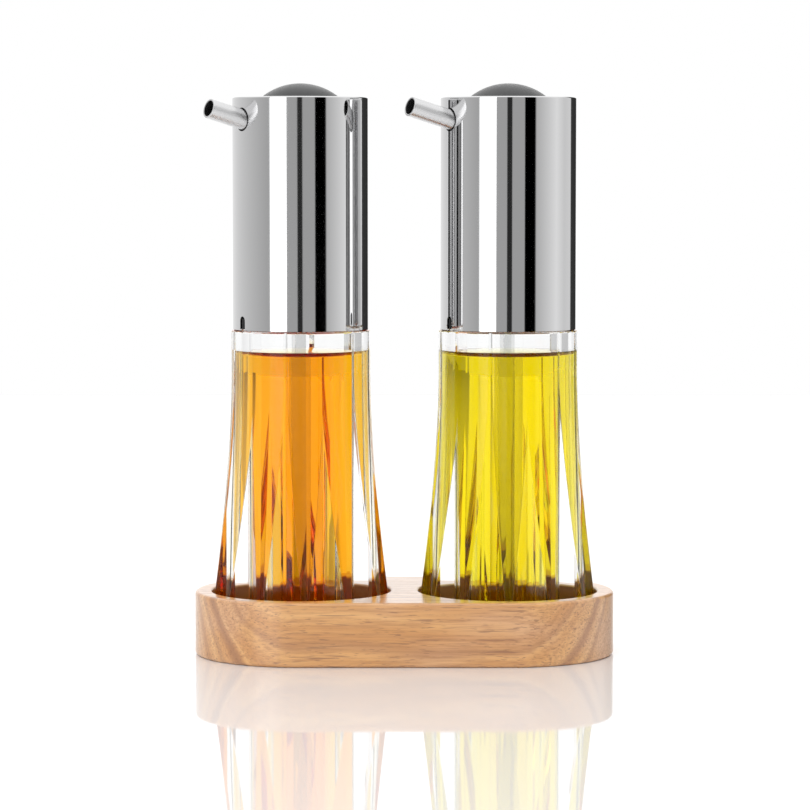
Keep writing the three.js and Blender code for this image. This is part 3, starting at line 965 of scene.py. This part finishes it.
def studio():
    """Soft studio: broad panels all round, with dark flags between them that edge the steel."""
    world = bpy.data.worlds.new("studio")
    bpy.context.scene.world = world
    world.use_nodes = True
    tree = world.node_tree
    tree.nodes.clear()
    new, link = tree.nodes.new, tree.links.new
    output = new("ShaderNodeOutputWorld")
    direction = new("ShaderNodeTexCoord").outputs["Generated"]
    parts = new("ShaderNodeSeparateXYZ")
    link(direction, parts.inputs[0])
    back = new("ShaderNodeMath")
    back.operation = "MULTIPLY"
    back.inputs[1].default_value = -1
    link(parts.outputs[1], back.inputs[0])
    round_about = new("ShaderNodeMath")
    round_about.operation = "ARCTAN2"
    link(parts.outputs[0], round_about.inputs[0])
    link(back.outputs[0], round_about.inputs[1])
    share = new("ShaderNodeMapRange")
    share.inputs[1].default_value = -math.pi
    share.inputs[2].default_value = math.pi
    link(round_about.outputs[0], share.inputs[0])
    # azimuth in degrees from the front towards the right, and brightness there
    steel_panels = [
        (-180, 1.35),
        (-168, 1.3),
        (-160, 1.0),
        (-54, 0.5),
        (-51, 0.5),
        (-50, 2.4),
        (-22.5, 2.4),
        (-21.5, 0.47),
        (-4, 0.47),
        (-3, 0.03),
        (4.5, 0.03),
        (5.5, 0.46),
        (25.5, 0.46),
        (26.5, 0.0),
        (44.5, 0.0),
        (46, 0.58),
        (87, 1.0),
        (107, 0.8),
        (127, 0.85),
        (129, 0.05),
        (157, 0.03),
        (160, 1.1),
        (180, 1.35),
    ]
    glass_panels = [
        (-180, 1.0),
        (-150, 1.0),
        (-120, 0.8),
        (-60, 0.7),
        (-45, 0.9),
        (-20, 0.9),
        (-4, 0.6),
        (26, 0.6),
        (45, 0.5),
        (90, 0.85),
        (127, 0.9),
        (130, 0.52),
        (152, 0.52),
        (156, 1.0),
        (180, 1.0),
    ]
    levels = []
    for panels in (steel_panels, glass_panels):
        ramp = new("ShaderNodeValToRGB")
        link(share.outputs[0], ramp.inputs[0])
        elements = ramp.color_ramp.elements
        while len(elements) < len(panels):
            elements.new(0.5)
        for element, (azimuth, brightness) in zip(elements, panels):
            element.position = (azimuth + 180) / 360
            element.color = (brightness / PANEL_TOP,) * 3 + (1,)
        level = new("ShaderNodeVectorMath")
        level.operation = "SCALE"
        level.inputs["Scale"].default_value = PANEL_TOP
        link(ramp.outputs[0], level.inputs[0])
        levels.append(level.outputs[0])
    rays = new("ShaderNodeLightPath")
    around = new("ShaderNodeMix")
    around.data_type = "RGBA"
    link(rays.outputs["Is Transmission Ray"], around.inputs[0])
    link(levels[0], around.inputs[6])
    link(levels[1], around.inputs[7])
    height = new("ShaderNodeMapRange")
    height.interpolation_type = "SMOOTHSTEP"
    height.inputs[1].default_value = 0.42
    height.inputs[2].default_value = 0.62
    link(parts.outputs[2], height.inputs[0])
    overhead = new("ShaderNodeMix")
    overhead.data_type = "RGBA"
    overhead.inputs[7].default_value = (1.25, 1.25, 1.25, 1)
    link(height.outputs[0], overhead.inputs[0])
    link(around.outputs[2], overhead.inputs[6])
    seen = new("ShaderNodeMix")
    seen.data_type = "RGBA"
    seen.inputs[7].default_value = (1, 1, 1, 1)
    link(rays.outputs["Is Camera Ray"], seen.inputs[0])
    link(overhead.outputs[2], seen.inputs[6])
    sky = new("ShaderNodeBackground")
    link(seen.outputs[2], sky.inputs["Color"])
    link(sky.outputs[0], output.inputs["Surface"])


def softbox(name, place, target, size, power):
    light = bpy.data.lights.new(name, "AREA")
    light.shape = "RECTANGLE"
    light.size, light.size_y = size
    light.energy = power
    obj = bpy.data.objects.new(name, light)
    obj.location = place
    obj.rotation_euler = (Vector(target) - Vector(place)).to_track_quat("-Z", "Y").to_euler()
    bpy.context.scene.collection.objects.link(obj)
    obj.visible_camera = False
    obj.visible_glossy = False
    obj.visible_transmission = False


def camera():
    data = bpy.data.cameras.new("camera")
    data.lens = 145.0
    data.sensor_width = 36.0
    obj = bpy.data.objects.new("camera", data)
    obj.location = (0.0002, -1.05, 0.156)
    obj.rotation_euler = (math.radians(90 - 4.12), 0, 0)
    bpy.context.scene.collection.objects.link(obj)
    bpy.context.scene.camera = obj


for unit in UNITS:
    for obj in bpy.data.objects:
        if not obj.name.startswith(unit) or "bottle" in obj.name or "liquid" in obj.name:
            continue
        # the dark inside of a head would show through the clear bottle
        obj.visible_transmission = "tube" in obj.name or "dome" in obj.name
floor()
studio()
softbox("key", (-0.25, -1.0, 1.1), (0, 0, 0.08), (1.2, 0.9), 6.0)
bpy.context.scene.cycles.max_bounces = LIGHT_BOUNCES
bpy.context.scene.cycles.transmission_bounces = LIGHT_BOUNCES
bpy.context.scene.cycles.glossy_bounces = 12
camera()
bpy.context.scene.view_settings.view_transform = "Standard"
